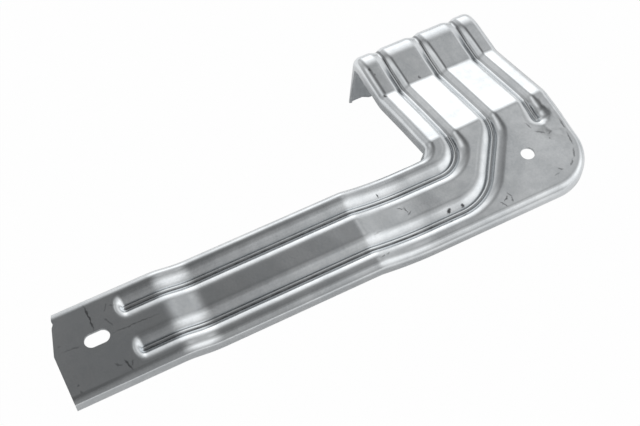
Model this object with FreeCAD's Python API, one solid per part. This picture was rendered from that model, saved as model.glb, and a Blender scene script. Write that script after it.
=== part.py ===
import FreeCAD, Part
import math
import os

# Stamped sheet steel bracket in one piece, all sizes in millimetres.
# The round hole of the corner plate is the origin.
# +X runs from the hole towards the hanging flange.
# +Y runs along the arm towards its slotted end.
# +Z leaves the smooth side of the sheet, out of the corner plate.

# Sheet and the rim that is turned down along every long edge
sheet = 1.5
rim_inside_radius = 2.5
rim_height = 7.3

# Sunk beads that stiffen the sheet, sizes on the smooth side
bead_depth = 3.0
bead_width = 11.0
bead_pitch = 22.3

# Arm, measured from the round hole or from its own beads
arm_inner_bead = 9.6
arm_far_strip = 11.4
arm_near_strip = 12.3
arm_length = 244.3
arm_bare_end = 37.0
cut_set_back = 6.3
cut_nick = 0.8
cut_nick_at = 15.0

# Two steps by which the arm rises towards its slotted end
first_step_at = 68.0
first_step_run = 26.2
first_step_rise = 4.4
second_step_at = 172.5
second_step_run = 20.5
second_step_rise = 3.2

# Head, measured from the round hole or from its own beads
head_mid_bead = 5.9
head_right_strip = 11.9
head_left_strip = 13.8
short_bead_start = 16.0
outer_corner_radius = 24.0
inner_corner_radius = 6.0

# Paths of the two long beads round the corner
inner_bead_radius = 14.0
outer_bead_slant_deg = 35.0
outer_bead_arm_radius = 26.0
outer_bead_head_radius = 20.0

# Joggle of the head, then the flange that hangs from its far end
slope_at = 29.0
slope_run = 43.0
slope_drop = 18.0
slope_foot_radius = 9.0
flange_at = 103.5
flange_rim_radius = 2.7
flange_splay_deg = 4.3
flange_drop = 49.0
flange_rim_top = 1.1
flange_rim_end = 0.2

# Holes
hole_diameter = 7.0
slot_width = 7.0
slot_length = 12.0
slot_from_end = 20.3

# Lengths that only keep cutting tools clear of the sheet
clear = 30.0
reach = clear * 3.0
tall = reach + clear
join_gap = 0.4

X = FreeCAD.Vector(1, 0, 0)
Y = FreeCAD.Vector(0, 1, 0)
Z = FreeCAD.Vector(0, 0, 1)


def vec(x, y, z=0.0):
    return FreeCAD.Vector(x, y, z)


def turn(direction, degrees):
    """Unit direction of the section plane turned left by so many degrees."""
    a = math.radians(degrees)
    c, s = math.cos(a), math.sin(a)
    return (direction[0] * c - direction[1] * s, direction[0] * s + direction[1] * c)


def walk(start, heading_deg, steps, place):
    """Face of the sheet along a line walked in the section plane.

    The walked line is the smooth side, and the sheet lies to its right.
    A step is a length, a radius with a turn in degrees, left positive, or on the
    flat a whole bead or the half of one.
    """
    at = start
    head = turn((1.0, 0.0), heading_deg)
    smooth, rough = [], []

    def right_of(point, direction, distance):
        return (point[0] + direction[1] * distance, point[1] - direction[0] * distance)

    def space(point):
        return place(point[0], point[1])

    def bead_arc(middle, level, radius, half_angle, end):
        points = []
        for share in (-1.0, (end - 1.0) / 2.0, end):
            a = half_angle * share
            points.append(space((middle + radius * math.sin(a), level + bead_rise - radius * math.cos(a))))
        return Part.Arc(points[0], points[1], points[2]).toShape()

    for step in steps:
        if step in (whole_bead, half_bead):
            middle = at[0] + under_half
            end = 1.0 if step == whole_bead else 0.0
            sunk = bead_arc(middle, at[1], bead_radius, bead_angle, end)
            smooth += [Part.LineSegment(space(at), sunk.Vertexes[0].Point).toShape(), sunk]
            rough.append(bead_arc(middle, at[1], under_radius, under_angle, end))
            if step == whole_bead:
                at = (middle + under_half, at[1])
                smooth.append(Part.LineSegment(sunk.Vertexes[-1].Point, space(at)).toShape())
        elif isinstance(step, float):
            to = (at[0] + head[0] * step, at[1] + head[1] * step)
            smooth.append(Part.LineSegment(space(at), space(to)).toShape())
            under = (right_of(at, head, sheet), right_of(to, head, sheet))
            rough.append(Part.LineSegment(space(under[0]), space(under[1])).toShape())
            at = to
        else:
            radius, angle = step
            side = 1.0 if angle > 0 else -1.0
            centre = right_of(at, head, -side * radius)
            lines = []
            for far in (radius, radius + side * sheet):
                points = []
                for share in (0.0, 0.5, 1.0):
                    way = turn(head, angle * share)
                    points.append(space(right_of(centre, way, side * far)))
                lines.append(Part.Arc(points[0], points[1], points[2]).toShape())
            smooth.append(lines[0])
            rough.append(lines[1])
            at = right_of(centre, turn(head, angle), side * radius)
            head = turn(head, angle)
    first = (smooth[0].Vertexes[0].Point, rough[0].Vertexes[0].Point)
    last = (smooth[-1].Vertexes[-1].Point, rough[-1].Vertexes[-1].Point)
    caps = [Part.LineSegment(first[0], first[1]).toShape(), Part.LineSegment(last[0], last[1]).toShape()]
    outline = Part.__sortEdges__(smooth + rough + caps)
    return Part.Face(Part.Wire(outline))


# One bead in section: an arc pressed into the sheet, its underside on the same centre
rim_radius = sheet + rim_inside_radius
bead_radius = (bead_width * bead_width / 4.0 + bead_depth * bead_depth) / (2.0 * bead_depth)
bead_rise = bead_radius - bead_depth
under_radius = bead_radius + sheet
bead_angle = math.acos(bead_rise / bead_radius)
under_angle = math.acos((bead_rise + sheet) / under_radius)
under_half = under_radius * math.sin(under_angle)
whole_bead = "whole bead"
half_bead = "half bead"
rim_up = [rim_height - rim_radius, (rim_radius, -90.0)]
rim_down = [(rim_radius, -90.0), rim_height - rim_radius]


def full_section(low, high, beads, place):
    """Section right across the sheet, from rim to rim, with its beads."""
    steps = list(rim_up)
    at = low + rim_radius
    for bead in sorted(beads):
        steps.append(bead - under_half - at)
        steps.append(whole_bead)
        at = bead + under_half
    steps.append(high - rim_radius - at)
    steps += rim_down
    return walk((low, -rim_height), 90.0, steps, place)


def mitred(path, across, low, high, beads):
    """Sheet along the legs of a path, mitred at each bend between them."""
    ways = [(end - start).normalize() for start, end in zip(path, path[1:])]
    tops = [way.cross(across) if way.cross(across).z > 0.0 else across.cross(way) for way in ways]
    mitres = [tops[0]] + [(one + two).normalize() for one, two in zip(tops, tops[1:])] + [tops[-1]]
    spare = 2.0 * rim_height
    legs = []
    for i, way in enumerate(ways):
        start = path[i] - way * spare
        length = (path[i + 1] - path[i]).Length + 2.0 * spare
        face = full_section(low, high, beads, lambda u, h: start + across * u + tops[i] * h)
        corners = [path[i] + mitres[i] * spare, path[i + 1] + mitres[i + 1] * spare,
                   path[i + 1] - mitres[i + 1] * spare, path[i] - mitres[i] * spare]
        slab = Part.Face(Part.makePolygon(corners + corners[:1])).extrude(across * 2.0 * tall)
        legs.append(face.extrude(way * length).common(moved(slab, across * -tall)))
    return legs


def spun(shape, point, axis, degrees):
    """Copy of a section turned about an axis."""
    copy = shape.copy()
    copy.rotate(point, axis, degrees)
    return copy


def moved(shape, by):
    copy = shape.copy()
    copy.translate(by)
    return copy


# Places of the beads and edges of the arm and the head
arm_beads = [arm_inner_bead, arm_inner_bead - bead_pitch]
head_beads = [head_mid_bead - bead_pitch, head_mid_bead, head_mid_bead + bead_pitch]
inner_bead_y = head_beads[2]
outer_bead_x = arm_beads[1]
arm_near_edge = arm_near_strip - outer_bead_x
arm_far_edge = arm_inner_bead + arm_far_strip
head_right_edge = head_right_strip - head_beads[0]
head_left_edge = inner_bead_y + head_left_strip

# End of the plate, clear of the bend where the head begins to slope down
slope_angle = math.degrees(math.atan2(slope_drop, slope_run))
slope_half_tan = math.tan(math.radians(slope_angle / 2.0))
head_start = slope_at - rim_height * slope_half_tan - join_gap

# Paths of the long beads, and the line where the plate ends and the arm begins
inner_centre = (arm_inner_bead + inner_bead_radius, inner_bead_y + inner_bead_radius)
slant = math.radians(outer_bead_slant_deg)
head_tangent = outer_bead_head_radius * math.tan(slant / 2.0)
arm_tangent = outer_bead_arm_radius * math.tan((math.pi / 2.0 - slant) / 2.0)
head_turn_x = head_start - join_gap - head_tangent
arm_turn_y = head_mid_bead + (head_turn_x - outer_bead_x) * math.tan(slant)
slant_length = (head_turn_x - outer_bead_x) / math.cos(slant)
arm_arc = (outer_bead_x + outer_bead_arm_radius, arm_turn_y + arm_tangent)
head_arc = (head_turn_x + head_tangent, head_mid_bead + outer_bead_head_radius)
slant_from = (outer_bead_x + arm_tangent * math.cos(slant), arm_turn_y - arm_tangent * math.sin(slant))
nook_radius = min(inner_corner_radius, head_start - arm_far_edge - join_gap)
nook_centre = (arm_far_edge + nook_radius, head_left_edge + nook_radius)
plate_end = max(inner_centre[1], arm_arc[1], nook_centre[1]) + join_gap

# Corner plate
pieces = []


def bead_run(x, y, angle_deg, length):
    """Straight bead in the plate, from a point along a direction."""
    a = math.radians(angle_deg)
    along = vec(math.cos(a), math.sin(a))
    across = vec(-math.sin(a), math.cos(a))
    start = vec(x, y)

    def place(u, h):
        return start + across * u + Z * h

    face = walk((-under_half, 0.0), 0.0, [whole_bead], place)
    corners = []
    for run, side in ((0.0, -under_half), (0.0, under_half), (length, under_half), (length, -under_half)):
        corners.append(start + along * run + across * side)
    plan = Part.Face(Part.makePolygon(corners + corners[:1]))
    return face.extrude(along * length), plan


def sector(cx, cy, inner, outer, from_deg, sweep_deg):
    """Flat ring sector about a point."""
    a = math.radians(from_deg)
    start = vec(cx + inner * math.cos(a), cy + inner * math.sin(a))
    end = vec(cx + outer * math.cos(a), cy + outer * math.sin(a))
    return Part.LineSegment(start, end).toShape().revolve(vec(cx, cy), Z, sweep_deg)


def bead_bend(cx, cy, radius, from_deg, sweep_deg):
    """Bead that bends round a centre in the plate."""
    a = math.radians(from_deg)
    outward = vec(math.cos(a), math.sin(a))
    start = vec(cx, cy)

    def place(u, h):
        return start + outward * (radius + u) + Z * h

    face = walk((-under_half, 0.0), 0.0, [whole_bead], place)
    plan = sector(cx, cy, radius - under_half, radius + under_half, from_deg, sweep_deg)
    return face.revolve(start, Z, sweep_deg), plan


def bead_tip(x, y, level, from_deg):
    """Rounded end of a bead, half a turn of half its section."""
    a = math.radians(from_deg)
    outward = vec(math.cos(a), math.sin(a))
    start = vec(x, y, level)

    def place(u, h):
        return start - outward * u + Z * h

    face = walk((-under_half, 0.0), 0.0, [half_bead], place)
    disc = Part.Face(Part.Wire(Part.makeCircle(under_half, vec(x, y))))
    return face.revolve(start, Z, 180.0), disc


# Corner plate: beads
bead_parts = []
bead_parts.append(bead_run(arm_inner_bead, inner_centre[1], 90.0, plate_end - inner_centre[1]))
bead_parts.append(bead_bend(inner_centre[0], inner_centre[1], inner_bead_radius, 180.0, 90.0))
bead_parts.append(bead_run(inner_centre[0], inner_bead_y, 0.0, head_start - inner_centre[0]))

bead_parts.append(bead_run(outer_bead_x, arm_arc[1], 90.0, plate_end - arm_arc[1]))
bead_parts.append(bead_bend(arm_arc[0], arm_arc[1], outer_bead_arm_radius,
                            180.0, 90.0 - outer_bead_slant_deg))
bead_parts.append(bead_run(slant_from[0], slant_from[1], -outer_bead_slant_deg,
                           slant_length - arm_tangent - head_tangent))
bead_parts.append(bead_bend(head_arc[0], head_arc[1], outer_bead_head_radius,
                            270.0 - outer_bead_slant_deg, outer_bead_slant_deg))
bead_parts.append(bead_run(head_arc[0], head_mid_bead, 0.0, head_start - head_arc[0]))

bead_parts.append(bead_tip(short_bead_start, head_beads[0], 0.0, 90.0))
bead_parts.append(bead_run(short_bead_start, head_beads[0], 0.0, head_start - short_bead_start))

# Corner plate: flat web between the beads and the rims
low_x = -arm_near_edge + rim_radius
low_y = -head_right_edge + rim_radius
web_corner = outer_corner_radius - rim_radius
corner_centre = (low_x + web_corner, low_y + web_corner)
nook = nook_radius + rim_radius
diagonal = math.sqrt(0.5)


def edge(a, b):
    return Part.LineSegment(vec(a[0], a[1]), vec(b[0], b[1])).toShape()


def arc(a, m, b):
    return Part.Arc(vec(a[0], a[1]), vec(m[0], m[1]), vec(b[0], b[1])).toShape()


p1 = (head_start, low_y)
p2 = (corner_centre[0], low_y)
p3 = (corner_centre[0] - web_corner * diagonal, corner_centre[1] - web_corner * diagonal)
p4 = (low_x, corner_centre[1])
p5 = (low_x, plate_end)
p6 = (arm_far_edge - rim_radius, plate_end)
p7 = (arm_far_edge - rim_radius, nook_centre[1])
p8 = (nook_centre[0] - nook * diagonal, nook_centre[1] - nook * diagonal)
p9 = (nook_centre[0], head_left_edge - rim_radius)
p10 = (head_start, head_left_edge - rim_radius)
web_edges = [edge(p1, p2), arc(p2, p3, p4), edge(p4, p5), edge(p5, p6), edge(p6, p7), arc(p7, p8, p9),
             edge(p9, p10), edge(p10, p1)]
web = Part.Face(Part.Wire(web_edges))
for solid, plan in bead_parts:
    pieces.append(solid)
    web = web.cut(plan)
pieces.append(web.extrude(Z * -sheet))


def rim_face(at, outward, level=0.0):
    """Section of a rim whose flat part ends at a point of the plan."""
    start = vec(at[0], at[1], level)

    def place(u, h):
        return start + outward * u + Z * h

    return walk((0.0, 0.0), 0.0, rim_down, place)


pieces.append(rim_face(p1, -Y).extrude(vec(p2[0] - p1[0], 0)))
pieces.append(rim_face(p4, -X).revolve(vec(corner_centre[0], corner_centre[1]), Z, 90.0))
pieces.append(rim_face(p4, -X).extrude(vec(0, p5[1] - p4[1])))
pieces.append(rim_face(p7, X).extrude(vec(0, p6[1] - p7[1])))
pieces.append(rim_face(p7, X).revolve(vec(nook_centre[0], nook_centre[1]), Z, 90.0))
pieces.append(rim_face(p9, Y).extrude(vec(p10[0] - p9[0], 0)))

# Head: down the slope, then one section swept along the shelf and round the fold
foot_back = slope_foot_radius * slope_half_tan
slope_way = vec(math.cos(math.radians(slope_angle)), 0, -math.sin(math.radians(slope_angle)))
slope_end = vec(slope_at + slope_run, 0, -slope_drop) - slope_way * foot_back
head_path = [vec(head_start, 0), vec(slope_at, 0), slope_end]
pieces += mitred(head_path, Y, -head_right_edge, head_left_edge, head_beads)

shelf_level = -slope_drop
shelf_start = slope_at + slope_run + foot_back
section = full_section(-head_right_edge, head_left_edge, head_beads,
                       lambda u, h: vec(shelf_start, u, shelf_level + h))
pieces.append(section.revolve(vec(shelf_start, 0, shelf_level + slope_foot_radius), Y, slope_angle))

fold_angle = 90.0 - flange_splay_deg
flange_radius = rim_height + flange_rim_radius
fold_start = flange_at - flange_radius * math.tan(math.radians(fold_angle / 2.0))
pieces.append(section.extrude(X * (fold_start - shelf_start)))
section = moved(section, X * (fold_start - shelf_start))
axis_point = vec(fold_start, 0, shelf_level - flange_radius)
pieces.append(section.revolve(axis_point, Y, fold_angle))
section = spun(section, axis_point, Y, fold_angle)
splay = math.radians(flange_splay_deg)
flange_way = vec(math.sin(splay), 0, -math.cos(splay))
pieces.append(section.extrude(flange_way * (flange_drop + clear)))

# Arm: up the two steps as far as the ends of the beads
arm_bead_end = arm_length - arm_bare_end
level = first_step_rise + second_step_rise
arm_path = [vec(0, plate_end), vec(0, first_step_at), vec(0, first_step_at + first_step_run, first_step_rise),
            vec(0, second_step_at, first_step_rise), vec(0, second_step_at + second_step_run, level),
            vec(0, arm_bead_end, level)]
pieces += mitred(arm_path, X, -arm_near_edge, arm_far_edge, arm_beads)

# Slotted end of the arm: flat, with the rounded ends of both beads
end_web = Part.makePlane(arm_far_edge + arm_near_edge - 2.0 * rim_radius, arm_length + clear - arm_bead_end,
                         vec(low_x, arm_bead_end))
for bead in arm_beads:
    solid, plan = bead_tip(bead, arm_bead_end, level, 0.0)
    pieces.append(solid)
    end_web = end_web.cut(plan)
pieces.append(moved(end_web, Z * level).extrude(Z * -sheet))
end_run = vec(0, arm_length + clear - arm_bead_end)
pieces.append(rim_face((low_x, arm_bead_end), -X, level).extrude(end_run))
pieces.append(rim_face((arm_far_edge - rim_radius, arm_bead_end), X, level).extrude(end_run))

bracket = pieces[0].multiFuse(pieces[1:])

# Cut of the slotted end: straight at first, then set back, with a small nick
set_back_slope = cut_set_back / arm_far_edge
nick_y = arm_length - set_back_slope * cut_nick_at
cut_line = [vec(-reach, arm_length), vec(0, arm_length),
            vec(cut_nick_at - 2.0 * cut_nick, nick_y + 2.0 * cut_nick * set_back_slope),
            vec(cut_nick_at, nick_y - cut_nick),
            vec(cut_nick_at + 2.0 * cut_nick, nick_y - 2.0 * cut_nick * set_back_slope),
            vec(reach, arm_length - set_back_slope * reach)]
cut_line += [vec(reach, arm_length + reach), vec(-reach, arm_length + reach), cut_line[0]]
end_tool = Part.Face(Part.makePolygon(cut_line)).extrude(Z * reach)
bracket = bracket.cut(moved(end_tool, Z * -clear))

# Far flange: straight lower edge, and the shallower rims beside it
lower = shelf_level - flange_drop
bracket = bracket.cut(Part.makeBox(tall, tall, tall, vec(fold_start - clear, -tall / 2.0, lower - tall)))


def behind_flange(depth, z):
    """Point so far behind the smooth face of the flange, at a height."""
    face_x = flange_at + (shelf_level - z) * math.tan(splay)
    return vec(face_x - depth / math.cos(splay), -tall / 2.0, z)


bead_back = bead_depth + sheet
rim_corner_z = shelf_level - rim_height - sheet
rim_foot_z = lower - sheet
rim_line = [behind_flange(bead_back + flange_rim_top, rim_corner_z),
            behind_flange(bead_back + flange_rim_end, rim_foot_z),
            vec(fold_start - clear, -tall / 2.0, rim_foot_z),
            vec(fold_start - clear, -tall / 2.0, rim_corner_z)]
rim_tool = Part.Face(Part.makePolygon(rim_line + rim_line[:1])).extrude(Y * tall)
bracket = bracket.cut(rim_tool)

# Round hole in the corner plate and slot near the end of the arm
hole = Part.makeCylinder(hole_diameter / 2.0, tall, vec(0, 0, -clear))
slot_at = arm_length - slot_from_end
slot_reach = (slot_length - slot_width) / 2.0
slot = Part.makeBox(slot_width, 2.0 * slot_reach, tall, vec(-slot_width / 2.0, slot_at - slot_reach, -clear))
for side in (-slot_reach, slot_reach):
    slot = slot.fuse(Part.makeCylinder(slot_width / 2.0, tall, vec(0, slot_at + side, -clear)))
bracket = bracket.cut(hole.fuse(slot.removeSplitter()))
bracket = bracket.removeSplitter()
if len(bracket.Solids) == 1:
    bracket = bracket.Solids[0]

os.makedirs("parts", exist_ok=True)
bracket.exportStep("parts/bracket.step")
print("bracket", bracket.ShapeType, "solids", len(bracket.Solids), "valid", bracket.isValid(),
      "volume", round(bracket.Volume, 1), "faces", len(bracket.Faces))
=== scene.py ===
import math

import bmesh
import bpy
import numpy as np
from mathutils import Matrix, Vector


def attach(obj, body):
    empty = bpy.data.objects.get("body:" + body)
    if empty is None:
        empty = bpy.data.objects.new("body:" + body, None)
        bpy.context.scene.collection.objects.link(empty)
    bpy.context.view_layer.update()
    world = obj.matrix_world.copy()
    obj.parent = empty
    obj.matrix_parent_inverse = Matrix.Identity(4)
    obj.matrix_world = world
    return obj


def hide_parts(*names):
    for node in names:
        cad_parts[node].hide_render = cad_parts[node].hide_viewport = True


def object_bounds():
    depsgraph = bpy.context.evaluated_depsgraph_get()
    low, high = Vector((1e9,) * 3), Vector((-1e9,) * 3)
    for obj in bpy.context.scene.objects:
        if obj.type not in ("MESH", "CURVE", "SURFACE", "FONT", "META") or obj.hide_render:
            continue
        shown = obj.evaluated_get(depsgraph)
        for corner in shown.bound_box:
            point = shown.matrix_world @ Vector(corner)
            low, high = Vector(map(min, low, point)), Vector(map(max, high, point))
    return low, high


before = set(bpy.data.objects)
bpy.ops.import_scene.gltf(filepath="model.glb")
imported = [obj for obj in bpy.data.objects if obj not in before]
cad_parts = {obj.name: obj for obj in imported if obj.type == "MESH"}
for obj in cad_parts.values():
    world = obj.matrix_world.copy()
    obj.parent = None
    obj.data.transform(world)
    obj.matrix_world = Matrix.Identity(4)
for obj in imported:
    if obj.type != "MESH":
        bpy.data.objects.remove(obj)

cad_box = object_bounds()

# Mounting bracket, one piece of 1.5 mm steel sheet. It was blanked, its beads and rims
# were pressed in one stroke of a tool, and its flange was then folded down.
# Sizes are in millimetres: y runs up the arm and x out along the head.
mm = 0.001
sheet = 1.5
near_edge, far_edge = -25.0, 21.0
right_edge, left_edge = -28.3, 42.0
arm_foot, arm_end = 52.0, 244.3
head_foot = 27.4
rim_radius, rim_height = 4.0, 7.3
fold_rim_height, flange_rim_height = 5.6, 4.2
outer_web_bend, inner_web_bend = 20.0, 10.0

# Bottom lines of the beads: x on the arm, y on the head, whose first bead is the short one
arm_beads = (-12.7, 9.6)
head_beads = (-15.7, 6.6, 28.9)
bead_reach = 7.3
bead_end, short_bead_start = 207.2, 16.8
slant, slant_margin = math.radians(35.0), 0.4
onto_slant, off_slant, inner_bead_bend = 26.0, 20.0, 14.0

# Steps up the arm as (start, run, rise, first arc, second arc), then the head's slope and its far flange
steps_up = ((62.2, 32.0, 4.4, 104.0, 13.0), (172.5, 20.5, 3.2, 32.0, 32.0))
slope_at, slope_run, slope_drop = 29.0, 43.0, 18.0
slope_top_radius, slope_foot_radius = 8.0, 8.0
slope_skew, skew_full, skew_gone, skewed_below = 1.6, 30.0, 50.0, 60.0
flange_at, flange_drop, flange_splay = 103.5, 49.0, math.radians(4.3)
fold_radii, first_turn = (20.0, 8.5), math.radians(26.0)
fold_angle = math.pi / 2 - flange_splay


def fold_reach(turned):
    """How far along and down the fold has come when it has turned by an angle."""
    soft, tight = np.minimum(turned, first_turn), np.maximum(turned, first_turn)
    along = fold_radii[0] * np.sin(soft) + fold_radii[1] * (np.sin(tight) - math.sin(first_turn))
    down = fold_radii[0] * (1 - np.cos(soft)) + fold_radii[1] * (math.cos(first_turn) - np.cos(tight))
    return along, down


whole_along, whole_down = fold_reach(fold_angle)
fold_start = flange_at - whole_along + whole_down * math.tan(flange_splay)
soft_length = fold_radii[0] * first_turn
fold_end = fold_start + soft_length + fold_radii[1] * (fold_angle - first_turn)
flange_length = (flange_drop - whole_down) / math.cos(flange_splay)


def spaced(marks, last):
    """Stations from the first mark to the last place; a mark is (place, gap that follows it)."""
    out = []
    for (a, gap), (b, _) in zip(marks, marks[1:] + [(last, 0)]):
        count = max(1, round(abs(b - a) / gap))
        out += [a + (b - a) * k / count for k in range(count)]
    return np.array(out + [last])


# Stations along the sheet: down the arm, round the corner, then out along the head
arm_stations = spaced([(arm_end, 1.7), (216.0, 0.8), (202.0, 1.6), (193.0, 0.9), (172.0, 1.8),
                       (95.5, 0.9), (67.0, 1.7)], arm_foot)
head_stations = spaced([(head_foot, 0.5), (32.0, 1.3), (69.0, 0.5), (75.0, 1.2), (fold_start - 3, 0.6),
                        (fold_end + 2, 1.5)], fold_end + flange_length)[1:]
corner_share = np.linspace(0, 1, 96)[1:]
stations = len(arm_stations) + len(corner_share) + len(head_stations)
round_corner = np.concatenate((np.zeros(len(arm_stations)), corner_share, np.ones(len(head_stations))))


def route(start, legs, share):
    """Points and left-hand directions at shares of a path that sets off towards -Y.

    A leg is a straight length, or a bend as (radius, degrees).
    """
    lengths = [leg[0] * math.radians(leg[1]) if isinstance(leg, tuple) else leg for leg in legs]
    along = share * sum(lengths)
    points, left = np.zeros((len(share), 2)), np.zeros((len(share), 2))
    at, heading, run = np.array(start, float), -math.pi / 2, 0.0
    for leg, length in zip(legs, lengths):
        here = along >= run - 1e-9
        ahead = np.clip(along[here] - run, 0, length)
        if isinstance(leg, tuple):
            radius = leg[0]
            centre = at + radius * np.array((-math.sin(heading), math.cos(heading)))
            facing = heading + ahead / radius
            points[here] = centre + radius * np.column_stack((np.sin(facing), -np.cos(facing)))
            heading += length / radius
            at = centre + radius * np.array((math.sin(heading), -math.cos(heading)))
        else:
            facing = np.full(len(ahead), heading)
            towards = np.array((math.cos(heading), math.sin(heading)))
            points[here] = at + np.outer(ahead, towards)
            at = at + length * towards
        left[here] = np.column_stack((-np.sin(facing), np.cos(facing)))
        run += length
    return points, left


def rounded_legs(arm_x, head_y, *corners):
    """Legs from the foot of the arm to the foot of the head, round corners given as (x, y, radius)."""
    places = [(arm_x, arm_foot)] + [c[:2] for c in corners] + [(head_foot, head_y)]
    legs, back = [], 0.0
    for i, (x, y, radius) in enumerate(corners):
        before = math.atan2(y - places[i][1], x - places[i][0])
        after = math.atan2(places[i + 2][1] - y, places[i + 2][0] - x)
        tangent = radius * math.tan((after - before) / 2)
        legs.append(math.dist(places[i], places[i + 1]) - back - tangent)
        legs.append((radius, math.degrees(after - before)))
        back = tangent
    return legs + [math.dist(places[-2], places[-1]) - back]


def laid(arm_x, head_y, *corners):
    """A line of the flat sheet, as its points at every station and its left-hand directions there."""
    corner, left = route((arm_x, arm_foot), rounded_legs(arm_x, head_y, *corners), corner_share)
    arm = np.column_stack((np.full(len(arm_stations), arm_x), arm_stations))
    head = np.column_stack((head_stations, np.full(len(head_stations), head_y)))
    arm_left, head_left = np.tile((1.0, 0.0), (len(arm), 1)), np.tile((0.0, 1.0), (len(head), 1))
    return np.vstack((arm, corner, head)), np.vstack((arm_left, left, head_left))


# Lines of the flat sheet: the web's two edges, and between them the long beads' bottom lines
web_near, web_right = near_edge + rim_radius, right_edge + rim_radius
web_far, web_left = far_edge - rim_radius, left_edge - rim_radius
slant_end = head_foot - slant_margin - off_slant * math.tan(slant / 2)
slant_start = head_beads[1] + (slant_end - arm_beads[0]) * math.tan(slant)
outer_line = laid(web_near, web_right, (web_near, web_right, outer_web_bend))
outer_bead = laid(arm_beads[0], head_beads[1], (arm_beads[0], slant_start, onto_slant),
                  (slant_end, head_beads[1], off_slant))
inner_bead = laid(arm_beads[1], head_beads[2], (arm_beads[1], head_beads[2], inner_bead_bend))
inner_line = laid(web_far, web_left, (web_far, web_left, inner_web_bend))

# Rims: full height everywhere but on the fold and flange. The near rim leans out a little beside the
# short bead's end, and the far rim more so in the inner corner.
along_head = np.concatenate((np.zeros(len(arm_stations) + len(corner_share)), head_stations))
rim_at = np.interp(along_head, [0, fold_start, fold_end, fold_end + flange_length],
                   [rim_height, rim_height, fold_rim_height, flange_rim_height])
near_lean, near_lean_x, near_lean_run = 0.8, 17.0, 8.0
far_lean, far_lean_share, far_lean_run = 2.2, 0.59, 0.42
outer_x, outer_y = outer_line[0].T
outer_lean = near_lean * np.exp(-((outer_x - near_lean_x) / near_lean_run) ** 2) * (outer_y < 0)
inner_lean = far_lean * np.exp(-((round_corner - far_lean_share) / far_lean_run) ** 2)

# Columns of the sheet from the near rim's lower edge across to the far rim's, each with its drop
# under the web, its distance from the nearest bead's bottom line and that distance with its side
no_bead = 99.0
tip_sharpness = 1.5
half_bead = [0.35, 0.6, 0.8, 1.0, 1.4, 1.9, 2.5, 3.2, 4.0, 4.8, 5.6, 6.5, bead_reach]
across_bead = [-d for d in reversed(half_bead)] + [0.0] + half_bead
columns = []


def column(points, drop=0.0, gap=no_bead, side=no_bead):
    columns.append([points] + [np.broadcast_to(value, stations) for value in (drop, gap, side)])


def rim_columns(line, side, lean):
    """Columns of a rim on one side of a line; it leans out by so much at its foot."""
    points, left = line
    wall = [(rim_radius, rim_radius + (rim_at - rim_radius) * share) for share in np.linspace(1, 0, 5)[:-1]]
    roll = [(rim_radius * math.sin(a), rim_radius * (1 - math.cos(a)))
            for a in np.linspace(math.pi / 2, 0, 9)[:-1]]
    for out, down in wall + roll:
        column(points + side * left * np.reshape(out + lean * down / rim_at, (-1, 1)), down)


def web_columns(first, last, shares):
    """Columns between two lines, with their distance from the short bead."""
    for share in shares:
        points = first + (last - first) * share
        behind = np.minimum(0.0, points[:, 0] - short_bead_start)
        beside = points[:, 1] - head_beads[0]
        column(points, gap=np.hypot(behind, beside), side=beside)


def bead_columns(line):
    """Columns of a long bead; past its end the distance grows faster, which makes its tip."""
    points, left = line
    past_end = tip_sharpness * np.maximum(0.0, points[:, 1] - bead_end)
    for offset in across_bead:
        column(points + left * offset, gap=np.hypot(offset, past_end), side=offset)


span = head_beads[1] - bead_reach - web_right
near_short = [(head_beads[0] - web_right + d) / span for d in across_bead]
between = list(np.linspace(near_short[-1], 1, 8)[1:-1])
rim_columns(outer_line, -1, outer_lean)
web_columns(outer_line[0], outer_bead[0] - outer_bead[1] * bead_reach, [0.0] + near_short + between)
bead_columns(outer_bead)
web_columns(outer_bead[0] + outer_bead[1] * bead_reach, inner_bead[0] - inner_bead[1] * bead_reach,
            np.linspace(0, 1, 10)[1:-1])
bead_columns(inner_bead)
web_columns(inner_bead[0] + inner_bead[1] * bead_reach, inner_line[0], np.linspace(0, 1, 5)[1:])
far_rim = len(columns)
rim_columns(inner_line, 1, inner_lean)
columns[far_rim:] = columns[far_rim:][::-1]
flat = np.array([c[0] for c in columns]).transpose(1, 0, 2)
drop, gap, side = (np.array([c[k] for c in columns]).T for k in (1, 2, 3))

# Cut of the arm's end: square at the near side, set back towards the far side, with a nick
set_back, cut_from = 6.3, 232.0
nick_depth, nick_at, nick_half = 0.8, 15.0, 1.6
x, y = flat[:, :, 0], flat[:, :, 1]
nick = nick_depth * np.maximum(0.0, 1 - np.abs(x - nick_at) / nick_half)
cut = arm_end - np.maximum(0.0, x) * set_back / far_edge - nick
flat[:, :, 1] = np.where(y > cut_from, cut_from + (y - cut_from) * (cut - cut_from) / (arm_end - cut_from), y)
x, y = flat[:, :, 0], flat[:, :, 1]


def joggle(at, start, run, rise, first, second):
    """Height and slope along a level line of a step up or down, with an arc at each end.

    A step up has its arcs within the run. A step down has them round the run's two corners.
    """
    if rise > 0:
        side = 1
        straight = math.sqrt(run * run + rise * rise - 2 * rise * (first + second))
        angle = 2 * math.atan2(rise, run + straight)
        begins, ends = start, start + run
    else:
        side = -1
        angle = math.atan2(-rise, run)
        begins = start - first * math.tan(angle / 2)
        ends = start + run + second * math.tan(angle / 2)
    straight_from, straight_to = begins + first * math.sin(angle), ends - second * math.sin(angle)
    in_first = np.clip(at - begins, 0, first * math.sin(angle))
    in_second = np.clip(ends - at, 0, second * math.sin(angle))
    climbed = (np.clip(at, straight_from, straight_to) - straight_from) * math.tan(angle)
    first_height = first - np.sqrt(first * first - in_first * in_first)
    second_height = np.sqrt(second * second - in_second * in_second) - second * math.cos(angle)
    tilt = np.where(at < straight_from, np.arcsin(in_first / first), np.arcsin(in_second / second))
    return side * (first_height + climbed + second_height), side * tilt


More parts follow.
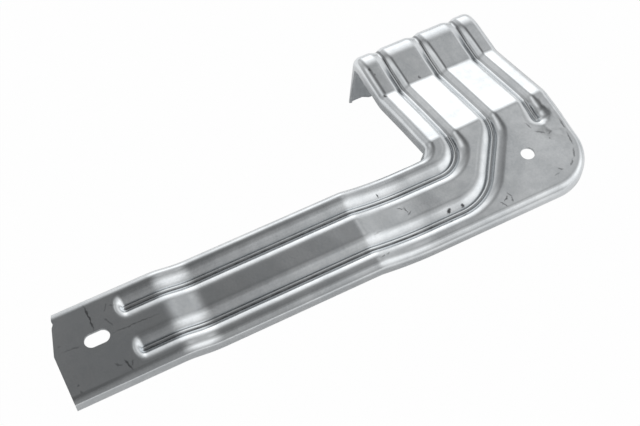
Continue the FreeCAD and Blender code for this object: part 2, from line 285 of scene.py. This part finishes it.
# The flat sheet bent up the arm's steps, then along the head down the slope and round the fold
level, tilt_y = np.zeros(x.shape), np.zeros(x.shape)
for start, run, rise, first, second in steps_up:
    height, tilt = joggle(y, start, run, rise, first, second)
    level, tilt_y = level + height, tilt_y + tilt
skew_share = np.clip((skew_gone - x) / (skew_gone - skew_full), 0, 1) * (y < skewed_below)
skew = slope_skew * (y - right_edge) / (left_edge - right_edge) * skew_share
height, tilt_x = joggle(x + skew, slope_at, slope_run, -slope_drop, slope_top_radius, slope_foot_radius)
up = np.stack((-np.sin(tilt_x), -np.sin(tilt_y), np.cos(tilt_x) * np.cos(tilt_y)), axis=2)
up /= np.linalg.norm(up, axis=2, keepdims=True)
on = np.stack((x, y, level + height), axis=2)
bent = np.clip(x - fold_start, 0, fold_end - fold_start)
turned = np.minimum(bent, soft_length) / fold_radii[0] + np.maximum(bent - soft_length, 0) / fold_radii[1]
fold_along, fold_down = fold_reach(turned)
folded = x > fold_start

# Below the fold the flange hangs straight, and the lower corners of its rims are cut off at a slant
corner_cut, corner_run = 4.5, 10.0
hang = np.maximum(0.0, x - fold_end)
to_corner = np.clip((hang - flange_length + corner_run) / corner_run, 0, 1)
hang = hang - corner_cut * np.minimum(1, drop / flange_rim_height) * to_corner ** 2
on[folded] = np.stack((fold_start + fold_along + hang * math.sin(flange_splay), y,
                       -slope_drop - fold_down - hang * math.cos(flange_splay)), axis=2)[folded]
up[folded] = np.stack((np.sin(turned), 0 * y, np.cos(turned)), axis=2)[folded]
on = on - up * drop[:, :, None]

# Beads are half as deep round the fold and shallower on the flange. Their section changes past the corner.
fold_share, flange_share = 0.5, 0.8
before_fold, into_fold, past_fold = 8.0, 4.0, 10.0
press_share = np.interp(x, [fold_start - before_fold, fold_start + into_fold, fold_end - into_fold,
                            fold_end + past_fold], [1, fold_share, fold_share, flange_share])
arm_section_to, head_section_from = 18.0, 34.0
on_head = np.clip((x - arm_section_to) / (head_section_from - arm_section_to), 0, 1)

# Mesh of the smooth side, whose points carry their distances from a bead and the way of pressing
rows, cols = x.shape
skin = bmesh.new()
press_layer = skin.verts.layers.float_vector.new("press")
gap_layer = skin.verts.layers.float.new("bead_gap")
side_layer = skin.verts.layers.float.new("bead_side")
head_layer = skin.verts.layers.float.new("on_head")
grid = []
for i in range(rows):
    for j in range(cols):
        v = skin.verts.new(on[i, j] * mm)
        v[press_layer] = Vector(up[i, j] * press_share[i, j])
        v[gap_layer] = gap[i, j] * mm
        v[side_layer] = side[i, j] * mm
        v[head_layer] = on_head[i, j]
        grid.append(v)
for i in range(rows - 1):
    for j in range(cols - 1):
        a = i * cols + j
        skin.faces.new((grid[a], grid[a + 1], grid[a + cols + 1], grid[a + cols]))


# Round hole for a screw in the corner plate, and a slot near the arm's end, both pierced through the sheet
hole_radius = 3.5
slot_at, slot_half = 224.0, 2.5
slot_level = sum(step[2] for step in steps_up)
margin = 3.5 * mm
core = 2.5 * mm
ring_width = 4.0 * mm
flatness = 0.5 * mm


def punch(outline):
    """Opens the flat sheet along an outline of points and joins the outline to the faces round it."""
    centre = sum(outline, Vector()) / len(outline)
    reach = max((p - centre).length for p in outline) + margin
    opened = []
    for face in skin.faces:
        at = face.calc_center_median()
        away = (at - centre).length
        if away < core or (away < reach and abs(at.z - centre.z) < flatness
                           and min((at - p).length for p in outline) < margin):
            opened.append(face)
    bmesh.ops.delete(skin, geom=opened, context="FACES")
    ring = [e for e in skin.edges if e.is_boundary and (e.verts[0].co - centre).length < reach + ring_width
            and abs(e.verts[0].co.z - centre.z) < flatness]
    verts = [skin.verts.new(p) for p in outline]
    loop = [skin.edges.new((verts[k - 1], verts[k])) for k in range(len(verts))]
    bmesh.ops.triangle_fill(skin, edges=ring + loop, use_beauty=True, use_dissolve=False, normal=(0, 0, 1))


turn = np.linspace(0, 2 * math.pi, 49)[:-1]
punch([Vector((hole_radius * math.cos(a), hole_radius * math.sin(a), 0)) * mm for a in turn])

# The slot's angles start just past zero, so that each point belongs to one of its two round ends
just_past = 0.001
punch([Vector((hole_radius * math.cos(a), slot_at + math.copysign(slot_half, math.sin(a))
               + hole_radius * math.sin(a), slot_level)) * mm for a in turn + just_past])
bmesh.ops.recalc_face_normals(skin, faces=skin.faces)
top = max(skin.faces, key=lambda f: f.calc_center_median().z)
if top.normal.z < 0:
    bmesh.ops.reverse_faces(skin, faces=skin.faces)
for face in skin.faces:
    face.smooth = True
mesh = bpy.data.meshes.new("pressed_bracket")
skin.to_mesh(mesh)
skin.free()
bracket = bpy.data.objects.new("pressed_bracket", mesh)
bpy.context.scene.collection.objects.link(bracket)


# Surface of the bracket: steel sheet with a bright electroplated zinc coat. Zinc gives a
# bluish silver, half mirror and half satin, clouded by handling and by oil from the press.
def linear(code):
    """A colour's sRGB hex code as linear red, green, blue and alpha."""
    values = [int(code[i:i + 2], 16) / 255 for i in (1, 3, 5)]
    return tuple(v / 12.92 if v <= 0.04045 else ((v + 0.055) / 1.055) ** 2.4 for v in values) + (1.0,)


def node(tree, kind, inputs=(), **settings):
    """A node with its settings; inputs maps a socket's name or number to a value or another node's socket."""
    made = tree.nodes.new(kind)
    for name, value in settings.items():
        setattr(made, name, value)
    for key, value in dict(inputs).items():
        socket = made.inputs[key]
        if isinstance(value, bpy.types.NodeSocket):
            tree.links.new(value, socket)
        else:
            socket.default_value = value
    return made


zinc = bpy.data.materials.new("bright_zinc_plate")
zinc.use_nodes = True
tree = zinc.node_tree
tree.nodes.clear()
cloud_size, mottle_size, grain_size, fray_size = 26, 4.5, 1.1, 1.7
place = node(tree, "ShaderNodeTexCoord").outputs["Object"]
cloud = node(tree, "ShaderNodeTexNoise", {"Vector": place, "Scale": 1000 / cloud_size, "Detail": 5.0,
                                          "Roughness": 0.6})
mottle = node(tree, "ShaderNodeTexNoise", {"Vector": place, "Scale": 1000 / mottle_size, "Detail": 3.0,
                                           "Roughness": 0.6})
grain = node(tree, "ShaderNodeTexNoise", {"Vector": place, "Scale": 1000 / grain_size, "Detail": 3.0,
                                          "Roughness": 0.6})
patches = node(tree, "ShaderNodeMath", {0: mottle.outputs["Fac"], 1: 0.45, 2: cloud.outputs["Fac"]},
               operation="MULTIPLY_ADD")
speckled = node(tree, "ShaderNodeMath", {0: grain.outputs["Fac"], 1: 0.3, 2: patches.outputs[0]},
                operation="MULTIPLY_ADD")
spread = node(tree, "ShaderNodeMapRange", {"Value": speckled.outputs[0], "From Min": 0.70, "From Max": 1.05})
clean = node(tree, "ShaderNodeMix", {"Factor": spread.outputs[0], "A": linear("#DCE0E3"),
                                     "B": linear("#EFF2F4")}, data_type="RGBA")
rough = node(tree, "ShaderNodeMapRange", {"Value": patches.outputs[0], "From Min": 0.58, "From Max": 0.87,
                                          "To Min": 0.20, "To Max": 0.14})

# Marks on the smooth side: a line scribed at the slot, oily scuffs and specks, their edges frayed by noise
# Each is (x, y, length, width, angle, strength)
marks = (
    (10.7, 223.5, 15.0, 0.9, 0, 0.75), (0.0, 236.0, 10.0, 0.7, 84, 0.35),
    (-1.1, 206.0, 24.0, 0.7, 88, 0.40), (-17.9, 216.3, 7.0, 1.2, 13, 0.65),
    (-16.2, 220.3, 4.0, 0.9, 47, 0.40), (-17.9, 214.5, 3.0, 0.8, -30, 0.40),
    (5.2, 216.4, 6.0, 0.7, 24, 0.40), (12.3, 215.2, 5.0, 0.7, -37, 0.35),
    (12.0, 211.8, 3.5, 0.7, 70, 0.30), (-17.0, 239.5, 1.6, 1.4, 0, 0.40),
    (-20.5, 239.6, 1.6, 1.2, 0, 0.35), (3.5, 240.5, 2.5, 0.7, 80, 0.20),
    (0.6, 70.4, 3.4, 0.9, 62, 0.60), (-1.2, 68.2, 4.0, 0.9, 15, 0.60),
    (-3.4, 67.4, 3.4, 0.9, -60, 0.55), (-10.0, 49.6, 3.4, 2.0, -60, 0.95),
    (-10.3, 42.3, 2.4, 1.9, 36, 0.95), (12.2, 76.4, 1.9, 1.1, 10, 0.85),
    (-19.2, 25.0, 4.6, 0.8, 30, 0.65), (-17.2, 22.6, 4.0, 0.9, -55, 0.70),
    (-15.9, 20.0, 3.4, 0.8, 20, 0.60), (-18.9, 20.3, 3.6, 0.9, -20, 0.60),
    (-14.7, -9.7, 3.6, 1.1, 50, 0.50), (-16.6, -6.4, 4.0, 0.9, -84, 0.30),
    (-19.0, 87.6, 2.6, 0.9, -60, 0.40), (-19.4, 90.2, 2.8, 0.9, -85, 0.40),
    (-7.1, 86.2, 6.0, 0.7, -81, 0.25), (71.3, 39.4, 2.6, 1.4, 24, 0.75),
    (89.7, 38.8, 2.2, 1.3, 24, 0.60), (73.8, 17.8, 2.6, 1.3, 11, 0.75),
    (86.0, 37.5, 1.6, 1.0, 0, 0.40), (7.3, -24.0, 7.0, 1.0, 0, 0.55),
    (-2.0, -22.9, 8.0, 1.1, -10, 0.60), (-9.6, -20.2, 6.0, 1.0, -28, 0.60),
    (-14.0, -16.4, 5.5, 0.9, -50, 0.50), (13.7, -8.5, 5.0, 1.1, 14, 0.45),
    (7.8, -11.7, 5.5, 1.1, 52, 0.45), (5.4, -16.0, 3.5, 1.0, -70, 0.40),
    (2.6, -14.3, 2.0, 1.2, 10, 0.40))
fray_reach = 2.4 * mm
fray = node(tree, "ShaderNodeTexNoise", {"Vector": place, "Scale": 1000 / fray_size, "Detail": 3.0,
                                         "Roughness": 0.7})
fray = node(tree, "ShaderNodeVectorMath", {0: fray.outputs["Color"], 1: (0.5, 0.5, 0.5)},
            operation="SUBTRACT")
frayed = node(tree, "ShaderNodeVectorMath", {0: fray.outputs[0], 1: (fray_reach, fray_reach, 0.0), 2: place},
              operation="MULTIPLY_ADD")
dirt = 0.0
for at_x, at_y, length, width, angle, strength in marks:
    local = node(tree, "ShaderNodeMapping", {
        "Vector": frayed.outputs[0], "Location": (at_x * mm, at_y * mm, 0),
        "Rotation": (0, 0, math.radians(angle)), "Scale": (length / 2 * mm, width / 2 * mm, 1.0)},
        vector_type="TEXTURE")
    away = node(tree, "ShaderNodeVectorMath", {0: local.outputs[0]}, operation="LENGTH").outputs["Value"]
    mark = node(tree, "ShaderNodeMapRange", {"Value": away, "From Min": 0.4, "From Max": 1.2,
                                             "To Min": strength, "To Max": 0.0},
                interpolation_type="SMOOTHSTEP")
    dirt = node(tree, "ShaderNodeMath", {0: mark.outputs[0], 1: dirt}, operation="MAXIMUM").outputs[0]
normal = node(tree, "ShaderNodeTexCoord").outputs["Normal"]
facing = node(tree, "ShaderNodeSeparateXYZ", {0: normal}).outputs["Z"]
smooth_side = node(tree, "ShaderNodeMath", {0: facing, 1: 0.0}, operation="GREATER_THAN").outputs[0]
dirt = node(tree, "ShaderNodeMath", {0: dirt, 1: smooth_side}, operation="MULTIPLY").outputs[0]

# Painted shade: a dark line down the outer wall of each bead stands in for the shade in its groove. It is
# broken up by noise in places, fades from the arm into the corner, and comes back on the head's level part.
groove_shade_at, groove_shade_half, groove_shade_edge = 0.75 * mm, 0.5 * mm, 0.95 * mm
past_tip = 0.6 * mm
faint_y, full_y = 20 * mm, 58 * mm
shelf_from_x, shelf_full_x = 66 * mm, 74 * mm
side_at = node(tree, "ShaderNodeAttribute", attribute_name="bead_side").outputs["Fac"]
gap_at = node(tree, "ShaderNodeAttribute", attribute_name="bead_gap").outputs["Fac"]
off_groove_shade = node(tree, "ShaderNodeMath", {0: side_at, 1: groove_shade_at}, operation="ADD")
off_groove_shade = node(tree, "ShaderNodeMath", {0: off_groove_shade.outputs[0]}, operation="ABSOLUTE")
# Painted groove shade across each bead's outer wall, full near its middle and fading at its edges
line = node(tree, "ShaderNodeMapRange", {"Value": off_groove_shade.outputs[0], "From Min": groove_shade_half,
                                         "From Max": groove_shade_edge, "To Min": 1.0, "To Max": 0.0},
            interpolation_type="SMOOTHSTEP")
side_size = node(tree, "ShaderNodeMath", {0: side_at}, operation="ABSOLUTE")
beyond = node(tree, "ShaderNodeMath", {0: gap_at, 1: side_size.outputs[0]}, operation="SUBTRACT")
within = node(tree, "ShaderNodeMapRange", {"Value": beyond.outputs[0], "From Min": 0.0, "From Max": past_tip,
                                           "To Min": 1.0, "To Max": 0.0})
shade_breakup = node(tree, "ShaderNodeMapRange", {"Value": mottle.outputs["Fac"], "From Min": 0.35, "From Max": 0.65,
                                         "To Min": 0.5, "To Max": 0.85})
at = node(tree, "ShaderNodeSeparateXYZ", {0: place}).outputs
on_arm = node(tree, "ShaderNodeMapRange", {"Value": at["Y"], "From Min": faint_y, "From Max": full_y,
                                           "To Min": 0.3, "To Max": 1.0})
on_shelf = node(tree, "ShaderNodeMapRange", {"Value": at["X"], "From Min": shelf_from_x,
                                             "From Max": shelf_full_x, "To Min": 0.0, "To Max": 0.45})
shown = node(tree, "ShaderNodeMath", {0: on_arm.outputs[0], 1: on_shelf.outputs[0]}, operation="ADD")
# The painted groove shade, kept within the bead, broken up by noise and faded along the sheet
painted_groove_shade = line
for share in (within, shade_breakup, shown):
    painted_groove_shade = node(tree, "ShaderNodeMath", {0: painted_groove_shade.outputs[0], 1: share.outputs[0]}, operation="MULTIPLY")
# Real marks and the painted groove shade both darken the zinc towards the same dark grey
marks_and_groove_shade = node(tree, "ShaderNodeMath", {0: painted_groove_shade.outputs[0], 1: dirt}, operation="MAXIMUM")
tone = node(tree, "ShaderNodeMix", {"Factor": marks_and_groove_shade.outputs[0], "A": clean.outputs[2],
                                    "B": linear("#3F4143")}, data_type="RGBA")

# Rumples beside the end of the short bead, where the metal was drawn in unevenly, over long soft waves
# in the sheet and a fine grain in the zinc
rumple_at, rumple_reach = (14 * mm, -21 * mm, 0), (17 * mm, 12 * mm, 1.0)
rumple_size, wave_size = 6.5, 14
rumple_height, wave_height, grain_height = 1.0 * mm, 0.35 * mm, 0.2 * mm
local = node(tree, "ShaderNodeMapping", {"Vector": place, "Location": rumple_at, "Scale": rumple_reach},
             vector_type="TEXTURE")
away = node(tree, "ShaderNodeVectorMath", {0: local.outputs[0]}, operation="LENGTH").outputs["Value"]
near_tip = node(tree, "ShaderNodeMapRange", {"Value": away, "From Min": 0.4, "From Max": 1.0,
                                             "To Min": 1.0, "To Max": 0.0}, interpolation_type="SMOOTHSTEP")
rumple = node(tree, "ShaderNodeTexNoise", {"Vector": place, "Scale": 1000 / rumple_size, "Detail": 1.5,
                                           "Roughness": 0.5})
rumple = node(tree, "ShaderNodeMath", {0: rumple.outputs["Fac"], 1: near_tip.outputs[0]},
              operation="MULTIPLY")
waves = node(tree, "ShaderNodeTexNoise", {"Vector": place, "Scale": 1000 / wave_size, "Detail": 1.0,
                                          "Roughness": 0.4})
bump = node(tree, "ShaderNodeBump", {"Strength": 0.5, "Distance": wave_height,
                                     "Height": waves.outputs["Fac"]})
bump = node(tree, "ShaderNodeBump", {"Strength": 0.5, "Distance": rumple_height,
                                     "Height": rumple.outputs[0], "Normal": bump.outputs[0]})
bump = node(tree, "ShaderNodeBump", {"Strength": 0.06, "Distance": grain_height,
                                     "Height": grain.outputs["Fac"], "Normal": bump.outputs[0]})
shell = node(tree, "ShaderNodeBsdfPrincipled", {"Base Color": tone.outputs[2], "Metallic": 1.0,
                                                "Roughness": rough.outputs["Result"],
                                                "Normal": bump.outputs[0]})
node(tree, "ShaderNodeOutputMaterial", {"Surface": shell.outputs["BSDF"]})

# Pressing of the beads: the sheet goes down by lip, wall and root with the distance from a bottom line.
# On the arm the lips are large arcs. On the head the walls are straight and the lips tight.
press = bpy.data.node_groups.new("press_beads", "GeometryNodeTree")
press.interface.new_socket("Geometry", in_out="INPUT", socket_type="NodeSocketGeometry")
bead_sizes = (("Arm Depth", 3.8 * mm), ("Arm Lip Radius", 7.6 * mm), ("Arm Steepest", math.radians(60)),
              ("Head Depth", 2.3 * mm), ("Head Lip Radius", 1.6 * mm), ("Head Steepest", math.radians(35)),
              ("Root Radius", 0.8 * mm), ("Bottom Half", 0.2 * mm))
for name, value in bead_sizes:
    socket = press.interface.new_socket(name, in_out="INPUT", socket_type="NodeSocketFloat")
    socket.default_value = value
press.interface.new_socket("Geometry", in_out="OUTPUT", socket_type="NodeSocketGeometry")
given = node(press, "NodeGroupInput").outputs
values = {"root": given["Root Radius"], "bottom": given["Bottom Half"]}
for key, name, kind in (("gap", "bead_gap", "FLOAT"), ("to_head", "on_head", "FLOAT"),
                        ("way", "press", "FLOAT_VECTOR")):
    stored = node(press, "GeometryNodeInputNamedAttribute", {"Name": name}, data_type=kind)
    values[key] = stored.outputs[0]
for key, name in (("lip", "Lip Radius"), ("deep", "Depth"), ("steepest", "Steepest")):
    mixed = node(press, "ShaderNodeMix", {"Factor": values["to_head"], "A": given["Arm " + name],
                                          "B": given["Head " + name]}, data_type="FLOAT")
    values[key] = mixed.outputs[0]

# Each step is (result, operation, operands). The wall is as steep as the depth leaves room for.
steps = [
    ("both", "ADD", "lip", "root"),
    ("part", "DIVIDE", "deep", "both"),
    ("part", "SUBTRACT", 1.0, "part"),
    ("part", "MAXIMUM", "part", -0.5),
    ("without_wall", "ARCCOSINE", "part"),
    ("steep", "MINIMUM", "without_wall", "steepest"),
    ("sine", "SINE", "steep"),
    ("cosine", "COSINE", "steep"),
    ("slope", "TANGENT", "steep"),
    ("arcs_deep", "SUBTRACT", 1.0, "cosine"),
    ("arcs_deep", "MULTIPLY", "both", "arcs_deep"),
    ("wall_deep", "SUBTRACT", "deep", "arcs_deep"),
    ("wall_deep", "MAXIMUM", "wall_deep", 0.0),
    ("wall", "DIVIDE", "wall_deep", "slope"),
    ("root_half", "MULTIPLY", "root", "sine"),
    ("lip_half", "MULTIPLY", "lip", "sine"),
    ("distance", "SUBTRACT", "gap", "bottom"),
    ("distance", "MAXIMUM", "distance", 0.0),
    ("wall_end", "ADD", "root_half", "wall"),
    ("lip_end", "ADD", "wall_end", "lip_half"),
    ("in_lip", "SUBTRACT", "lip_end", "distance"),
    ("in_lip", "MAXIMUM", "in_lip", 0.0),
    ("in_lip", "MINIMUM", "in_lip", "lip_half"),
    ("in_wall", "SUBTRACT", "wall_end", "distance"),
    ("in_wall", "MAXIMUM", "in_wall", 0.0),
    ("in_wall", "MINIMUM", "in_wall", "wall"),
    ("wall_drop", "MULTIPLY", "in_wall", "slope"),
    ("in_root", "MINIMUM", "distance", "root_half")]
for height, radius, reach in (("lip_drop", "lip", "in_lip"), ("root_whole", "root", "root_half"),
                              ("root_rise", "root", "in_root")):
    steps += [
        ("square", "POWER", radius, 2.0),
        ("leg", "POWER", reach, 2.0),
        ("leg", "SUBTRACT", "square", "leg"),
        ("leg", "SQRT", "leg"),
        (height, "SUBTRACT", radius, "leg")]
steps += [
    ("root_drop", "SUBTRACT", "root_whole", "root_rise"),
    ("depth", "ADD", "lip_drop", "wall_drop"),
    ("depth", "ADD", "depth", "root_drop"),
    ("lowering", "MULTIPLY", "depth", -1.0)]
for result, operation, *operands in steps:
    sockets = {k: values.get(operand, operand) for k, operand in enumerate(operands)}
    values[result] = node(press, "ShaderNodeMath", sockets, operation=operation).outputs[0]
shift = node(press, "ShaderNodeVectorMath", {0: values["way"], "Scale": values["lowering"]},
             operation="SCALE")
formed = node(press, "GeometryNodeSetPosition", {"Geometry": given["Geometry"], "Offset": shift.outputs[0]})
whole = node(press, "GeometryNodeRealizeInstances", {"Geometry": formed.outputs[0]})
plated = node(press, "GeometryNodeSetMaterial", {"Geometry": whole.outputs[0], "Material": zinc})
node(press, "NodeGroupOutput", {"Geometry": plated.outputs[0]})

# The beads are pressed first, then the sheet gets its thickness away from the smooth side
crease = math.radians(38)
pressing = bracket.modifiers.new("pressing", "NODES")
pressing.node_group = press
thickness = bracket.modifiers.new("thickness", "SOLIDIFY")
thickness.thickness = sheet * mm
thickness.offset = -1.0
thickness.use_even_offset = True
evaluated = bracket.evaluated_get(bpy.context.evaluated_depsgraph_get())
finished = bpy.data.meshes.new_from_object(evaluated)
bracket.modifiers.clear()
bracket.data = finished
finished.set_sharp_from_angle(angle=crease)
finished.materials.clear()
finished.materials.append(zinc)
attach(bracket, "root")
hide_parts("bracket")

# Floor, a plain sheet of white paper just under the flange's lower edge. Seen in the zinc it is brighter
# beyond the head and past the outer corner, as if lit there.
floor_half, floor_gap = 3.0, 0.0002
head_glow_from, head_glow_to = 0.095, 0.17
head_fade_from, head_fade_to = -0.22, -0.12
corner_way, corner_from, corner_to = (-0.5, -0.87, 0.0), -0.03, 0.10
floor_level = cad_box[0][2] - floor_gap
floor_mesh = bpy.data.meshes.new("floor")
floor_mesh.from_pydata([(floor_half * x, floor_half * y, floor_level)
                        for x, y in ((-1, -1), (1, -1), (1, 1), (-1, 1))], [], [(0, 1, 2, 3)])
floor = bpy.data.objects.new("floor", floor_mesh)
bpy.context.scene.collection.objects.link(floor)
pale = bpy.data.materials.new("white_paper")
pale.use_nodes = True
tree = pale.node_tree
tree.nodes.clear()
spot = node(tree, "ShaderNodeTexCoord").outputs["Object"]
on_floor = node(tree, "ShaderNodeSeparateXYZ", {0: spot}).outputs
beyond_head = node(tree, "ShaderNodeMapRange", {
    "Value": on_floor["X"], "From Min": head_glow_from, "From Max": head_glow_to,
    "To Min": 0.05, "To Max": 0.75}, interpolation_type="SMOOTHSTEP")
fading = node(tree, "ShaderNodeMapRange", {
    "Value": on_floor["Y"], "From Min": head_fade_from, "From Max": head_fade_to,
    "To Min": 0.1, "To Max": 1.0}, interpolation_type="SMOOTHSTEP")
beyond_head = node(tree, "ShaderNodeMath", {0: beyond_head.outputs[0], 1: fading.outputs[0]},
                   operation="MULTIPLY")
past_corner = node(tree, "ShaderNodeVectorMath", {0: spot, 1: corner_way}, operation="DOT_PRODUCT")
past_corner = node(tree, "ShaderNodeMapRange", {
    "Value": past_corner.outputs["Value"], "From Min": corner_from, "From Max": corner_to,
    "To Min": 0.0, "To Max": 0.6}, interpolation_type="SMOOTHSTEP")
lit = node(tree, "ShaderNodeMath", {0: beyond_head.outputs[0], 1: past_corner.outputs[0]},
           operation="MAXIMUM")
seen = node(tree, "ShaderNodeLightPath").outputs
mirrored = node(tree, "ShaderNodeMath", {0: seen["Is Glossy Ray"], 1: lit.outputs[0]}, operation="MULTIPLY")
veil = node(tree, "ShaderNodeMath", {0: seen["Is Camera Ray"], 1: 0.985, 2: mirrored.outputs[0]},
            operation="MULTIPLY_ADD")
paper = node(tree, "ShaderNodeBsdfDiffuse", {"Color": linear("#F4F4F4")})
white = node(tree, "ShaderNodeEmission", {"Color": (1, 1, 1, 1), "Strength": 1.0})
blend = node(tree, "ShaderNodeMixShader", {0: veil.outputs[0], 1: paper.outputs[0], 2: white.outputs[0]})
node(tree, "ShaderNodeOutputMaterial", {"Surface": blend.outputs[0]})
floor_mesh.materials.append(pale)

# Light: a white tent with soft panels of different brightness, and a dim roof
# Each panel is (compass angle from +X, height angle, tightness, brightness)
panels = ((-90, 69, 44.2, 0.31), (-16, 32, 45.0, 0.45), (-17, 13, 36.0, 0.84), (50, 47, 21.5, 0.69),
          (-42, 15, 6.9, 0.56), (-132, -12, 4.0, 0.89), (-148, 34, 21.5, 0.52), (31, -33, 1.7, 0.73),
          (-102, 33, 9.8, 0.97), (135, 26, 14.2, 0.60), (-47, 57, 90.0, 0.30), (20, 16, 45.0, 0.23),
          (-135, 56, 32.6, 0.59), (-37, 52, 150.0, 0.11), (-58, 20, 30.0, 0.2))
sky = bpy.data.worlds.new("white_tent")
sky.use_nodes = True
tree = sky.node_tree
tree.nodes.clear()
way = node(tree, "ShaderNodeTexCoord").outputs["Generated"]
glow = 0.0
for compass, height, tightness, brightness in panels:
    a, e = math.radians(compass), math.radians(height)
    middle = (math.cos(e) * math.cos(a), math.cos(e) * math.sin(a), math.sin(e))
    facing = node(tree, "ShaderNodeVectorMath", {0: way, 1: middle}, operation="DOT_PRODUCT").outputs["Value"]
    fall = node(tree, "ShaderNodeMath", {0: facing, 1: tightness, 2: -tightness}, operation="MULTIPLY_ADD")
    soft = node(tree, "ShaderNodeMath", {0: fall.outputs[0]}, operation="EXPONENT")
    glow = node(tree, "ShaderNodeMath", {0: soft.outputs[0], 1: brightness, 2: glow},
                operation="MULTIPLY_ADD").outputs[0]
tent = node(tree, "ShaderNodeBackground", {"Color": glow, "Strength": 1.0})
bare = node(tree, "ShaderNodeBackground", {"Color": (1, 1, 1, 1), "Strength": 1.0})
seen = node(tree, "ShaderNodeLightPath").outputs
blend = node(tree, "ShaderNodeMixShader", {0: seen["Is Camera Ray"], 1: tent.outputs[0], 2: bare.outputs[0]})
node(tree, "ShaderNodeOutputWorld", {"Surface": blend.outputs[0]})
bpy.context.scene.world = sky

# Camera, above the slotted end and looking down across the plate
focal_pixels, picture_pixels = 1300, 640
forward = Vector((0.4388, -0.2224, -0.8706)).normalized()
right = Vector((-0.4523, -0.8919, -0.0001)).normalized()
camera_at = Vector((-254.2, 242.1, 535.9)) * mm
lens = bpy.data.cameras.new("camera")
lens.sensor_width = 36.0
lens.lens = lens.sensor_width * focal_pixels / picture_pixels
lens.clip_start = 0.01
camera = bpy.data.objects.new("camera", lens)
aim = Matrix((right, right.cross(forward), -forward)).transposed().to_4x4()
camera.matrix_world = Matrix.Translation(camera_at) @ aim
bpy.context.scene.collection.objects.link(camera)
bpy.context.scene.camera = camera
bpy.context.scene.view_settings.view_transform = "Standard"
